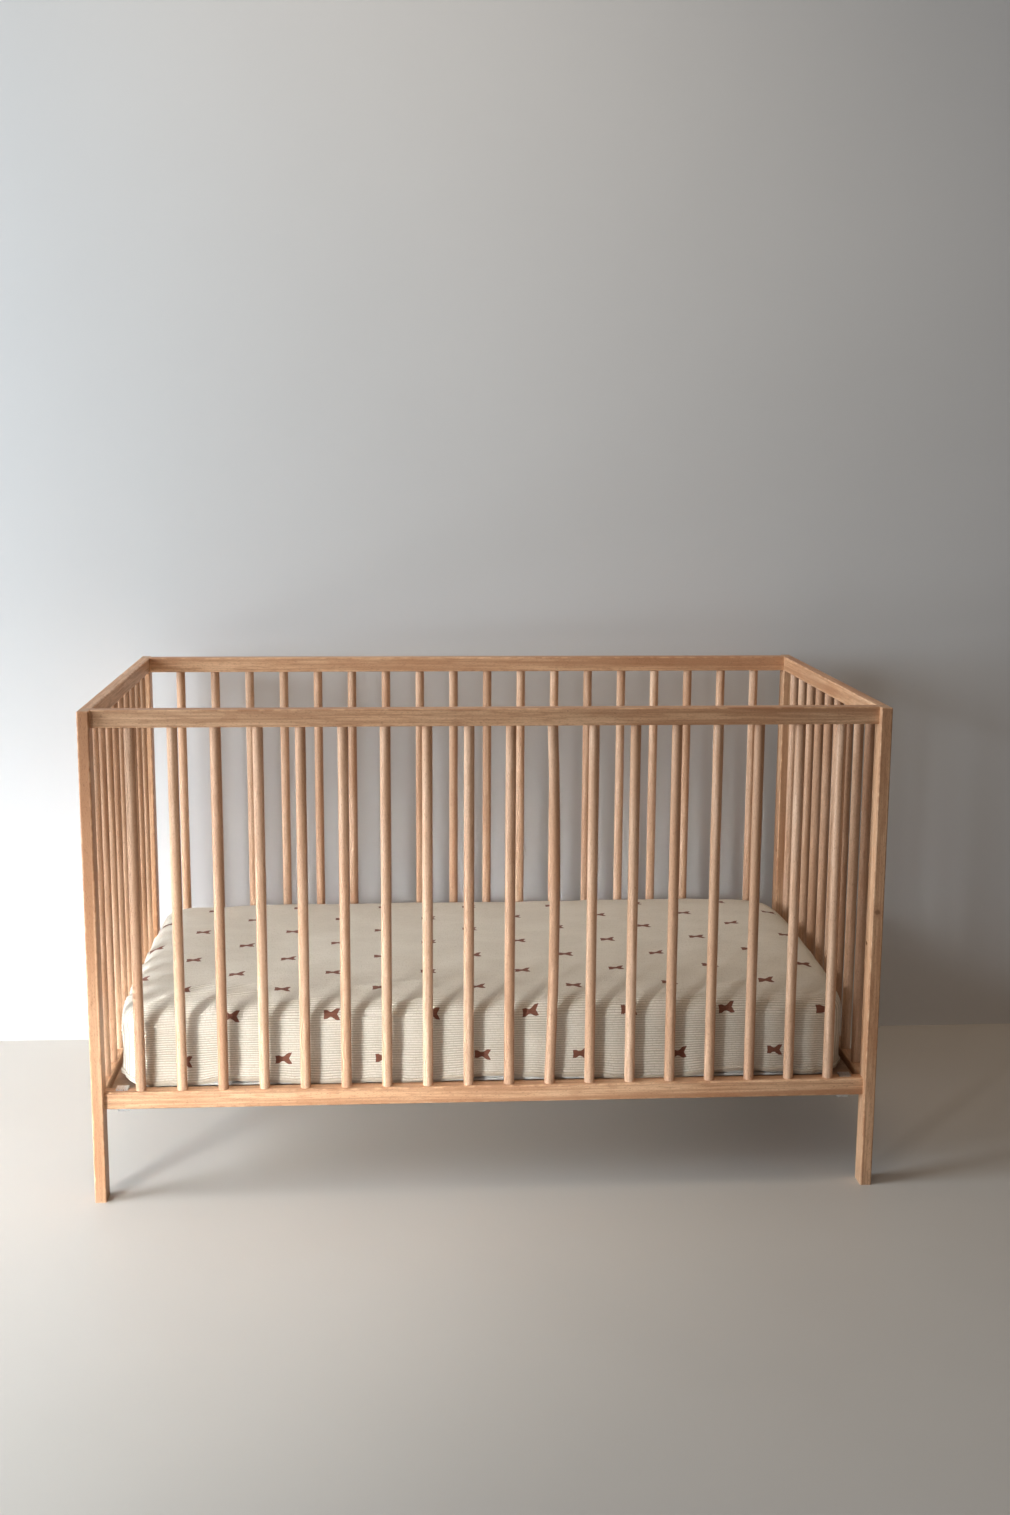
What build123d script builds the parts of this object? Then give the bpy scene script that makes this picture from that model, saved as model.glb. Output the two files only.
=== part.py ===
from build123d import *
import os

# Full-size baby crib in solid beech. Millimetres, +Z up, origin on the floor under the middle of the crib.
# X runs along the long sides, Y from the front side to the back side.

# Overall
length = 1378.0
width = 770.0
height = 868.0

# Posts, rails and spindles
post_width = 20.0
post_depth = 38.0
rail_height = 30.0
side_rail_thickness = 26.0
side_rail_inset = 11.0
bottom_rail_top = 197.0
edge_radius = 2.5
spindle_diameter = 18.0
spindle_pitch = 71.4
side_spindle_count = 18
end_spindle_count = 9
tenon_diameter = 12.0
tenon_length = 14.0
spindle_bow = 6.5
bowed_spindle = 10
bow_overshoot = 1.0

# Joints between the rails and the posts
bolt_diameter = 6.0
bolt_reach = 42.0
bolt_head_diameter = 12.0
bolt_head_height = 3.5
bolt_hex_width = 4.0
bolt_offset = 4.0
barrel_diameter = 10.0
barrel_length = 22.0
barrel_recess = 2.0  # how far the nut's slotted end sits above the rail's underside
barrel_distance = 27.0
side_dowel_diameter = 6.0
side_dowel_offset = 7.0
side_dowel_depth = 10.0
end_dowel_diameter = 8.0
end_dowel_depth = 16.0
end_dowel_spacing = 16.0

# Mattress base
base_lift = 250.0
base_length = 1328.0
base_width = 690.0
panel_thickness = 5.0
panel_setback = 1.0  # the panel's long edges stop short of the battens' outer faces
panel_top = 186.0
panel_hole_diameter = 16.0
panel_hole_pitch = 58.0
batten_width = 24.0
batten_height = 25.5
slat_width = 44.0
slat_spacing = 330.0
wood_screw_diameter = 4.0
wood_screw_head = 8.0
wood_screw_head_height = 2.2
panel_screw_length = 22.0
frame_screw_length = 55.0
frame_screw_offset = 4.0  # outward from an end batten's middle, clear of the panel's screws

# Steel hooks that hang the base on the bottom rails
hook_width = 21.0
hook_x = 639.5
hook_thickness = 2.5
hook_lip = 19.5
hook_flange = 25.0
hook_clearance = 0.5
hook_screw_spacing = 11.0
hook_screw_length = 20.0
hook_screw_head_height = 2.2
peg_hole_diameter = 8.0
peg_hole_depth = 14.0

# Mattress and its fitted sheet
mattress_length = 1300.0
mattress_width = 680.0
mattress_thickness = 152.0
mattress_corner_radius = 62.0
mattress_top_radius = 26.0
mattress_bottom_radius = 10.0
sheet_thickness = 1.2
sheet_hem_height = 16.0
rest_gap = 0.3

# Derived places
half_length = length / 2
half_width = width / 2
post_x = half_length - post_width / 2
post_y = half_width - post_depth / 2
inner_length = length - 2 * post_width
inner_width = width - 2 * post_depth
rail_y = half_width - side_rail_inset - side_rail_thickness / 2
bolt_y = rail_y - bolt_offset
side_dowel_y = rail_y + side_dowel_offset
barrel_x = half_length - post_width - barrel_distance
rail_levels = {"top": height - rail_height / 2, "bottom": bottom_rail_top - rail_height / 2}
spindle_bottom = bottom_rail_top
spindle_top = height - rail_height
panel_bottom = panel_top - panel_thickness
batten_bottom = panel_bottom - batten_height
batten_y = base_width / 2 - batten_width / 2
end_batten_x = base_length / 2 - batten_width / 2
slat_xs = {"left": -slat_spacing, "middle": 0.0, "right": slat_spacing}
slat_length = base_width - 2 * batten_width
mattress_bottom = panel_top + rest_gap
mattress_top = mattress_bottom + mattress_thickness
SIDES_X = {"left": -1, "right": 1}
SIDES_Y = {"front": -1, "back": 1}


def save(part, name):
    part.label = name
    export_step(part, f"parts/{name}.step")


def spindle_offsets(count):
    first = -(count - 1) / 2 * spindle_pitch
    return [first + index * spindle_pitch for index in range(count)]


def facing_x(side, x, y, z):
    """Plane whose normal points along X, away from the crib's middle for side +1 and -1 alike."""
    return Plane(origin=(side * x, y, z), x_dir=(0, 1, 0), z_dir=(side, 0, 0))


def facing_y(side, x, y, z):
    return Plane(origin=(x, side * y, z), x_dir=(1, 0, 0), z_dir=(0, side, 0))


def make_post(name, side_x, side_y):
    """Full-height corner post, bored for the side rails' bolts and dowels and the end rails' dowels."""
    with BuildPart() as post:
        with BuildSketch(Plane.XY):
            with Locations((side_x * post_x, side_y * post_y)):
                Rectangle(post_width, post_depth)
        extrude(amount=height)
        upright_edges = post.edges().filter_by(Axis.Z)
        fillet(upright_edges + post.edges().group_by(Axis.Z)[-1], radius=edge_radius)
        for level in rail_levels.values():
            with Locations(facing_x(side_x, half_length, side_y * bolt_y, level)):
                CounterBoreHole(
                    radius=bolt_diameter / 2,
                    counter_bore_radius=bolt_head_diameter / 2,
                    counter_bore_depth=bolt_head_height,
                    depth=post_width,
                )
            with Locations(facing_x(-side_x, -inner_length / 2, side_y * side_dowel_y, level)):
                Hole(radius=side_dowel_diameter / 2, depth=side_dowel_depth)
            for offset in (-end_dowel_spacing / 2, end_dowel_spacing / 2):
                with Locations(facing_y(-side_y, side_x * post_x, -inner_width / 2, level + offset)):
                    Hole(radius=end_dowel_diameter / 2, depth=end_dowel_depth)
        peg_z = bottom_rail_top + base_lift - peg_hole_diameter / 2
        with Locations(facing_x(-side_x, -inner_length / 2, side_y * bolt_y, peg_z)):
            Hole(radius=peg_hole_diameter / 2, depth=peg_hole_depth)
    save(post.part, name)


def make_side_rail(name, side_y, level):
    """Long rail between two posts, with spindle sockets, end bolt holes and barrel nut holes."""
    centre = rail_levels[level]
    socket_face = centre + rail_height / 2 if level == "bottom" else centre - rail_height / 2
    socket_normal = (0, 0, 1) if level == "bottom" else (0, 0, -1)
    nut_face = centre - rail_height / 2
    with BuildPart() as rail:
        with BuildSketch(Plane.XY.offset(centre - rail_height / 2)):
            with Locations((0, side_y * rail_y)):
                Rectangle(inner_length, side_rail_thickness)
        extrude(amount=rail_height)
        fillet(rail.edges().filter_by(Axis.X), radius=edge_radius)
        sockets = [(x, side_y * rail_y, socket_face) for x in spindle_offsets(side_spindle_count)]
        with Locations(*[Plane(origin=point, z_dir=socket_normal) for point in sockets]):
            Hole(radius=tenon_diameter / 2, depth=tenon_length)
        for side_x in SIDES_X.values():
            with Locations(facing_x(side_x, inner_length / 2, side_y * bolt_y, centre)):
                Hole(radius=bolt_diameter / 2, depth=bolt_reach)
            with Locations(facing_x(side_x, inner_length / 2, side_y * side_dowel_y, centre)):
                Hole(radius=side_dowel_diameter / 2, depth=side_dowel_depth)
            nut_place = Plane(origin=(side_x * barrel_x, side_y * bolt_y, nut_face), z_dir=(0, 0, -1))
            with Locations(nut_place):
                Hole(radius=barrel_diameter / 2, depth=barrel_length)
    save(rail.part, name)


def make_end_rail(name, side_x, level):
    """Short rail doweled between the front and back posts, flush with their faces."""
    centre = rail_levels[level]
    socket_face = centre + rail_height / 2 if level == "bottom" else centre - rail_height / 2
    socket_normal = (0, 0, 1) if level == "bottom" else (0, 0, -1)
    with BuildPart() as rail:
        with BuildSketch(Plane.XY.offset(centre - rail_height / 2)):
            with Locations((side_x * post_x, 0)):
                Rectangle(post_width, inner_width)
        extrude(amount=rail_height)
        fillet(rail.edges().filter_by(Axis.Y), radius=edge_radius)
        sockets = [(side_x * post_x, y, socket_face) for y in spindle_offsets(end_spindle_count)]
        with Locations(*[Plane(origin=point, z_dir=socket_normal) for point in sockets]):
            Hole(radius=tenon_diameter / 2, depth=tenon_length)
        for side_y in SIDES_Y.values():
            for offset in (-end_dowel_spacing / 2, end_dowel_spacing / 2):
                with Locations(facing_y(side_y, side_x * post_x, inner_width / 2, centre + offset)):
                    Hole(radius=end_dowel_diameter / 2, depth=end_dowel_depth)
    save(rail.part, name)


def make_spindles(name, centres, bowed_centre=None):
    """Round spindles with a turned tenon at each end; one of them may have warped to a gentle bow."""
    straight = [centre for centre in centres if centre != bowed_centre]
    with BuildPart() as spindles:
        with BuildSketch(Plane.XY.offset(spindle_bottom)):
            with Locations(*straight):
                Circle(spindle_diameter / 2)
        extrude(amount=spindle_top - spindle_bottom)
        if bowed_centre:
            x, y = bowed_centre
            low = spindle_bottom - bow_overshoot
            high = spindle_top + bow_overshoot
            with BuildLine() as axis_line:
                ThreePointArc((x, y, low), (x + spindle_bow, y, (low + high) / 2), (x, y, high))
            with BuildSketch(Plane(origin=(x, y, low), z_dir=axis_line.line % 0)):
                Circle(spindle_diameter / 2)
            sweep(path=axis_line.line)
            split(bisect_by=Plane.XY.offset(spindle_bottom), keep=Keep.TOP)
            split(bisect_by=Plane.XY.offset(spindle_top), keep=Keep.BOTTOM)
        for tenon_start in (spindle_bottom - tenon_length, spindle_top):
            with BuildSketch(Plane.XY.offset(tenon_start)):
                with Locations(*centres):
                    Circle(tenon_diameter / 2)
            extrude(amount=tenon_length)
    save(spindles.part, name)


def joint_places():
    """Where a side rail meets a post, as the side in X, the side in Y and the rail's middle height."""
    return [
        (side_x, side_y, level)
        for side_x in SIDES_X.values()
        for side_y in SIDES_Y.values()
        for level in rail_levels.values()
    ]


def make_bolts():
    """Socket-headed bolts, from the posts' outer faces into the side rails."""
    with BuildPart() as bolts:
        for side_x, side_y, level in joint_places():
            with BuildSketch(facing_x(side_x, half_length, side_y * bolt_y, level)):
                Circle(bolt_head_diameter / 2)
            extrude(amount=-bolt_head_height)
            with BuildSketch(facing_x(side_x, half_length, side_y * bolt_y, level)):
                Circle(bolt_diameter / 2)
            extrude(amount=-(post_width + bolt_reach - edge_radius))
            with BuildSketch(facing_x(side_x, half_length, side_y * bolt_y, level)):
                RegularPolygon(bolt_hex_width / 2, 6, major_radius=False)
            extrude(amount=-bolt_head_height, mode=Mode.SUBTRACT)
    save(bolts.part, "side_rail_bolts")


def make_barrel_nuts():
    """Cross-drilled barrel nuts, pushed up into the underside of each side rail, with a driver slot."""
    slot_width = 1.4
    slot_depth = 1.6
    with BuildPart() as nuts:
        for side_x, side_y, level in joint_places():
            bottom = level - rail_height / 2
            with BuildSketch(Plane.XY.offset(bottom + barrel_recess)):
                with Locations((side_x * barrel_x, side_y * bolt_y)):
                    Circle(barrel_diameter / 2)
            extrude(amount=barrel_length - barrel_recess)
            with Locations(facing_x(side_x, barrel_x + barrel_diameter / 2, side_y * bolt_y, level)):
                Hole(radius=bolt_diameter / 2, depth=barrel_diameter)
            with BuildSketch(Plane.XY.offset(bottom + barrel_recess)):
                with Locations((side_x * barrel_x, side_y * bolt_y)):
                    Rectangle(slot_width, barrel_diameter)
            extrude(amount=slot_depth, mode=Mode.SUBTRACT)
    save(nuts.part, "side_rail_barrel_nuts")


def make_dowels():
    """Fluted dowels are plain cylinders here: one beside each bolt and two at each end rail's end."""
    with BuildPart() as side_dowels:
        for side_x, side_y, level in joint_places():
            start = inner_length / 2 - side_dowel_depth
            with BuildSketch(facing_x(side_x, start, side_y * side_dowel_y, level)):
                Circle(side_dowel_diameter / 2)
            extrude(amount=2 * side_dowel_depth)
    save(side_dowels.part, "side_rail_dowels")
    with BuildPart() as end_dowels:
        for side_x, side_y, level in joint_places():
            start = inner_width / 2 - end_dowel_depth
            for offset in (-end_dowel_spacing / 2, end_dowel_spacing / 2):
                with BuildSketch(facing_y(side_y, side_x * post_x, start, level + offset)):
                    Circle(end_dowel_diameter / 2)
                extrude(amount=2 * end_dowel_depth)
    save(end_dowels.part, "end_rail_dowels")


def panel_screw_points():
    """Screws through the panel: along the side battens, the end battens and down each cross slat."""
    half_bays = 2 * (len(slat_xs) + 1)
    along_x = [(index + 0.5) * slat_spacing / 2 for index in range(-half_bays // 2, half_bays // 2)]
    points = [(x, side * batten_y) for x in along_x for side in SIDES_Y.values()]
    across_y = [-slat_length / 4, 0, slat_length / 4]
    beam_xs = [-end_batten_x, end_batten_x] + list(slat_xs.values())
    return points + [(x, y) for x in beam_xs for y in across_y]


def frame_screw_places():
    """Ends of the end battens and cross slats, screwed through the side battens."""
    end_x = end_batten_x + frame_screw_offset
    beam_xs = [-end_x, end_x] + list(slat_xs.values())
    return [(x, side) for x in beam_xs for side in SIDES_Y.values()]


def hook_screw_points():
    flange_y = base_width / 2 - hook_flange / 2
    return [
        (side_x * hook_x + offset, side_y * flange_y)
        for side_x in SIDES_X.values()
        for side_y in SIDES_Y.values()
        for offset in (-hook_screw_spacing / 2, hook_screw_spacing / 2)
    ]


def make_batten(name, centre_x, centre_y, size_x, size_y):
    """Base frame member; pilot holes are cut wherever a screw of the base passes through it."""
    frame_level = batten_bottom + batten_height / 2
    with BuildPart() as batten:
        with BuildSketch(Plane.XY.offset(batten_bottom)):
            with Locations((centre_x, centre_y)):
                Rectangle(size_x, size_y)
        extrude(amount=batten_height)
        fillet(batten.edges().group_by(Axis.Z)[0], radius=edge_radius / 2)
        for x, y in panel_screw_points():
            if abs(x - centre_x) < size_x / 2 and abs(y - centre_y) < size_y / 2:
                with Locations((x, y, panel_bottom)):
                    Hole(radius=wood_screw_diameter / 2, depth=panel_screw_length - panel_thickness)
        for x, side in frame_screw_places():
            if abs(x - centre_x) < size_x / 2:
                with Locations(facing_y(side, x, base_width / 2, frame_level)):
                    CounterSinkHole(
                        radius=wood_screw_diameter / 2,
                        counter_sink_radius=wood_screw_head / 2,
                        depth=frame_screw_length,
                    )
        for x, y in hook_screw_points():
            if abs(x - centre_x) < size_x / 2 and abs(y - centre_y) < size_y / 2:
                with Locations(Plane(origin=(x, y, batten_bottom), z_dir=(0, 0, -1))):
                    Hole(radius=wood_screw_diameter / 2, depth=hook_screw_length - hook_thickness)
    save(batten.part, name)


def make_panel():
    """Perforated fibreboard that the mattress lies on."""
    columns = int(base_length / panel_hole_pitch) - 1
    rows = int(base_width / panel_hole_pitch) - 1
    with BuildPart() as panel:
        with BuildSketch(Plane.XY.offset(panel_bottom)):
            Rectangle(base_length, base_width - 2 * panel_setback)
        extrude(amount=panel_thickness)
        with Locations((0, 0, panel_top)):
            with GridLocations(panel_hole_pitch, panel_hole_pitch, columns, rows):
                Hole(radius=panel_hole_diameter / 2, depth=panel_thickness)
        for x, y in panel_screw_points():
            with Locations((x, y, panel_top)):
                CounterSinkHole(
                    radius=wood_screw_diameter / 2,
                    counter_sink_radius=wood_screw_head / 2,
                    depth=panel_thickness,
                )
    save(panel.part, "base_panel")


def make_countersunk_screws(name, head_planes, total_length):
    """Screws whose heads are flush with the given planes and whose shanks run back along their normals."""
    with BuildPart() as screws:
        for plane in head_planes:
            with BuildSketch(plane):
                Circle(wood_screw_head / 2)
            with BuildSketch(plane.offset(-wood_screw_head_height)):
                Circle(wood_screw_diameter / 2)
            loft()
            with BuildSketch(plane):
                Circle(wood_screw_diameter / 2)
            extrude(amount=-total_length)
    save(screws.part, name)


def make_base_screws():
    frame_level = batten_bottom + batten_height / 2
    panel_planes = [Plane(origin=(x, y, panel_top), z_dir=(0, 0, 1)) for x, y in panel_screw_points()]
    make_countersunk_screws("base_panel_screws", panel_planes, panel_screw_length)
    frame_planes = [facing_y(side, x, base_width / 2, frame_level) for x, side in frame_screw_places()]
    make_countersunk_screws("base_frame_screws", frame_planes, frame_screw_length)
    underside = batten_bottom - hook_thickness
    with BuildPart() as hook_screws:
        with BuildSketch(Plane.XY.offset(underside - hook_screw_head_height)):
            with Locations(*hook_screw_points()):
                Circle(wood_screw_head / 2)
        extrude(amount=hook_screw_head_height)
        with BuildSketch(Plane.XY.offset(underside)):
            with Locations(*hook_screw_points()):
                Circle(wood_screw_diameter / 2)
        extrude(amount=hook_screw_length)
    save(hook_screws.part, "base_hook_screws")


def make_hook(name, side_x, side_y):
    """Bent steel strap: lip over the bottom rail, web down its back, flange under the side batten."""
    web_outer = base_width / 2 + hook_thickness
    web_inner = base_width / 2
    lip_bottom = bottom_rail_top + rest_gap
    flange_top = batten_bottom
    outline = [
        (web_outer, lip_bottom),
        (web_outer + hook_lip - hook_thickness, lip_bottom),
        (web_outer + hook_lip - hook_thickness, lip_bottom + hook_thickness),
        (web_inner, lip_bottom + hook_thickness),
        (web_inner, flange_top),
        (web_inner - hook_flange, flange_top),
        (web_inner - hook_flange, flange_top - hook_thickness),
        (web_outer, flange_top - hook_thickness),
    ]
    with BuildPart() as hook:
        start = side_x * hook_x - hook_width / 2
        with BuildSketch(Plane(origin=(start, 0, 0), x_dir=(0, side_y, 0), z_dir=(side_y, 0, 0))):
            with BuildLine():
                Polyline(*outline, close=True)
            make_face()
        extrude(amount=side_y * hook_width)
        for x, y in hook_screw_points():
            if x * side_x > 0 and y * side_y > 0:
                with Locations((x, y, flange_top)):
                    Hole(radius=wood_screw_diameter / 2, depth=hook_thickness)
    save(hook.part, name)


def make_mattress():
    """Foam mattress with rounded corners, and the sheet stretched over its top and sides."""
    with BuildPart() as mattress:
        with BuildSketch(Plane.XY.offset(mattress_bottom)):
            RectangleRounded(mattress_length, mattress_width, mattress_corner_radius)
        extrude(amount=mattress_thickness)
        fillet(mattress.edges().group_by(Axis.Z)[-1], radius=mattress_top_radius)
        fillet(mattress.edges().group_by(Axis.Z)[0], radius=mattress_bottom_radius)
    save(mattress.part, "mattress")
    hem_level = mattress_bottom + sheet_hem_height
    with BuildPart() as sheet:
        outer_radius = mattress_corner_radius + sheet_thickness
        with BuildSketch(Plane.XY.offset(hem_level)):
            RectangleRounded(
                mattress_length + 2 * sheet_thickness, mattress_width + 2 * sheet_thickness, outer_radius
            )
        extrude(amount=mattress_top + sheet_thickness - hem_level)
        fillet(sheet.edges().group_by(Axis.Z)[-1], radius=mattress_top_radius + sheet_thickness)
        add(mattress.part, mode=Mode.SUBTRACT)
    save(sheet.part, "fitted_sheet")


os.makedirs("parts", exist_ok=True)

for x_name, side_x in SIDES_X.items():
    for y_name, side_y in SIDES_Y.items():
        make_post(f"post_{y_name}_{x_name}", side_x, side_y)
        make_hook(f"base_hook_{y_name}_{x_name}", side_x, side_y)
    for level_name in rail_levels:
        make_end_rail(f"end_{level_name}_rail_{x_name}", side_x, level_name)
    end_centres = [(side_x * post_x, y) for y in spindle_offsets(end_spindle_count)]
    make_spindles(f"end_spindles_{x_name}", end_centres)
    make_batten(f"base_end_batten_{x_name}", side_x * end_batten_x, 0, batten_width, slat_length)

for y_name, side_y in SIDES_Y.items():
    for level_name in rail_levels:
        make_side_rail(f"{y_name}_{level_name}_rail", side_y, level_name)
    side_centres = [(x, side_y * rail_y) for x in spindle_offsets(side_spindle_count)]
    bowed = side_centres[bowed_spindle] if y_name == "front" else None
    make_spindles(f"{y_name}_spindles", side_centres, bowed)
    make_batten(f"base_side_batten_{y_name}", 0, side_y * batten_y, base_length, batten_width)

for slat_name, slat_x in slat_xs.items():
    make_batten(f"base_cross_slat_{slat_name}", slat_x, 0, slat_width, slat_length)

make_bolts()
make_barrel_nuts()
make_dowels()
make_panel()
make_base_screws()
make_mattress()
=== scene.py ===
"""The looks of the baby crib: beech, zinc, board, a padded mattress and its printed fitted sheet."""

import math

import bpy
import numpy as np
from mathutils import Matrix, Vector


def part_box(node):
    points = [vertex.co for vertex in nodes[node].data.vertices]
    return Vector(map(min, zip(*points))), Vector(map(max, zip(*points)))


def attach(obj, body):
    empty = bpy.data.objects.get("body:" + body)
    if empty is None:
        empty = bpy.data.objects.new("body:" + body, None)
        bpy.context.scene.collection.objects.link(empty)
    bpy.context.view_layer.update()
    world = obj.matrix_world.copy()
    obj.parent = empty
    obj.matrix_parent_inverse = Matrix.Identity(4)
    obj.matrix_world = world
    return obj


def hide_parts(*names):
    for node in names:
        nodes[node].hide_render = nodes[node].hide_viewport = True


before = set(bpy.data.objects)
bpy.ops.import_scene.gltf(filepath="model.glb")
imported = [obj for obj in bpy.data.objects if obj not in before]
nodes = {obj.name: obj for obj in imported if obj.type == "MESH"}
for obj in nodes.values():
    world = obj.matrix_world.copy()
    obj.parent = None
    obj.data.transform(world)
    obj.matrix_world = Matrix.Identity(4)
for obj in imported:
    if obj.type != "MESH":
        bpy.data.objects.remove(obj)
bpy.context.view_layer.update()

SPINDLE_PITCH = 0.0714
CELL = 0.010  # side of a mattress face before subdivision
CORNER, TOP_EDGE, BOTTOM_EDGE = 0.062, 0.026, 0.010  # the mattress's roundings
HEM_HEIGHT = 0.0145  # the sheet's hem above the mattress's underside
RIB_PITCH = 0.0047
STITCH_PITCH, STITCH_LINE = 0.0034, 0.0072  # the hem's stitches, and where they run over its section
MOTIF_PITCH, ROW_PITCH = 0.177, 0.0865  # along a row, and from row to row
FIRST_ROW = 0.004  # the middle row's distance behind the cloth's centre line
EVEN_START, ODD_SHIFT = 0.0785, -0.0885  # where even rows start, and how far odd rows are moved
WAIST = 0.002  # the bow tie's waist is this far left of its middle
KNOT_INSET, KNOT_HEIGHT = 0.009, 0.507  # the small knot on the front right post
FRONT_DIP, BACK_RISE, CORNER_DROP = 0.0065, 0.0155, 0.0075  # the mattress's worn-in form
LEFT_BOW, RIGHT_BOW = 0.0045, 0.0105  # how far its ends bow out
LEFT_ROOM, RIGHT_ROOM = 0.004, 0.011  # how far they may go past the CAD solid
SIM_CAP = 0.006  # how far the cloth simulation may move a point
SHRUNK = 0.004  # the mattress starts this much smaller, because it swells
CLOTH_GAP, CLOTH_THICKNESS = 0.0014, 0.0007
HEM_HALF_THICKNESS, HEM_HALF_HEIGHT, HEM_RAISE = 0.0014, 0.0046, 0.0016
PIPING_RADIUS, PIPING_HEIGHT = 0.0024, 0.0075
LENS, EYE = 40.405, (-0.1679, -3.2098, 1.2978)
YAW, PITCH, ROLL = 3.884, 10.247, 0.328  # the camera's angles in degrees
WALL_Y, WALL_HEIGHT, ROOM_REACH = 0.462, 5.0, 30.0


# ---------------------------------------------------------------- materials
class Graph:
    """A node material built in short calls. A value is a number, a colour, or another node's output."""

    def __init__(self, name, **constants):
        self.material = bpy.data.materials.new(name)
        self.material.use_nodes = True
        self.tree = self.material.node_tree
        self.shader = self.tree.nodes["Principled BSDF"]
        for key, value in constants.items():
            self.shader.inputs[key.replace("_", " ").title().replace("Ior", "IOR")].default_value = value
        self.place = self.add("TexCoord").outputs["Object"]

    def put(self, socket, value):
        if isinstance(value, bpy.types.NodeSocket):
            self.tree.links.new(value, socket)
        elif hasattr(value, "__len__") and len(value) == 3 and socket.type == "RGBA":
            socket.default_value = (*value, 1)
        else:
            socket.default_value = value

    def add(self, kind, values=(), **settings):
        node = self.tree.nodes.new("ShaderNode" + kind)
        for key, value in settings.items():
            setattr(node, key, value)
        for key, value in dict(values).items():
            self.put(node.inputs[key], value)
        return node

    def math(self, operation, *values):
        return self.add("Math", enumerate(values), operation=operation).outputs[0]

    def split(self, vector):
        return self.add("SeparateXYZ", {0: vector}).outputs

    def stretch(self, scale, offset=(0, 0, 0), vector=None):
        values = {"Vector": vector or self.place, "Scale": scale, "Location": offset}
        return self.add("Mapping", values).outputs[0]

    def noise(self, vector, scale=1.0, detail=2.0, roughness=0.5, distortion=0.0):
        values = {
            "Vector": vector,
            "Scale": scale,
            "Detail": detail,
            "Roughness": roughness,
            "Distortion": distortion,
        }
        return self.add("TexNoise", values).outputs[0]

    def random(self, value):
        """A number from 0 to 1 that depends on value alone."""
        return self.add("TexWhiteNoise", {"W": value}, noise_dimensions="1D").outputs["Value"]

    def smooth(self, value, low, high, to_low=0.0, to_high=1.0):
        values = {0: value, 1: low, 2: high, 3: to_low, 4: to_high}
        return self.add("MapRange", values, interpolation_type="SMOOTHSTEP").outputs[0]

    def mix(self, factor, a, b, blend="MIX"):
        values = {0: factor, 6: a, 7: b}
        return self.add("Mix", values, data_type="RGBA", blend_type=blend).outputs[2]

    def finish(self, colour, roughness=None, height=None, depth=0.0003, strength=0.5):
        self.put(self.shader.inputs["Base Color"], colour)
        if roughness is not None:
            self.put(self.shader.inputs["Roughness"], roughness)
        if height is not None:
            bump = self.add("Bump", {"Height": height, "Distance": depth, "Strength": strength})
            self.tree.links.new(bump.outputs[0], self.shader.inputs["Normal"])
        return self.material


def along_across(axis, along, across):
    """A scale that is small along the grain and large across it."""
    scale = [across] * 3
    scale[axis] = along
    return scale


def shifted(graph, vector, amount):
    """vector moved by amount, a socket, on every axis."""
    spread = graph.add("CombineXYZ", {0: amount, 1: amount, 2: amount}).outputs[0]
    return graph.add("VectorMath", {0: vector, 1: spread}, operation="ADD").outputs[0]


def edge_mask(graph, low, high, reach):
    """1 on the arrises of a box, falling to 0 at reach from them."""
    gaps = []
    for at, a, b in zip(graph.split(graph.place), low, high):
        from_middle = graph.math("ABSOLUTE", graph.math("SUBTRACT", at, (a + b) / 2))
        gaps.append(graph.math("SUBTRACT", (b - a) / 2, from_middle))
    x, y, z = gaps
    less, more = graph.math("MINIMUM", x, y), graph.math("MAXIMUM", x, y)
    middle = graph.math("MAXIMUM", less, graph.math("MINIMUM", more, z))
    return graph.smooth(middle, 0.0, reach, 1.0, 0.0)


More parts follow.
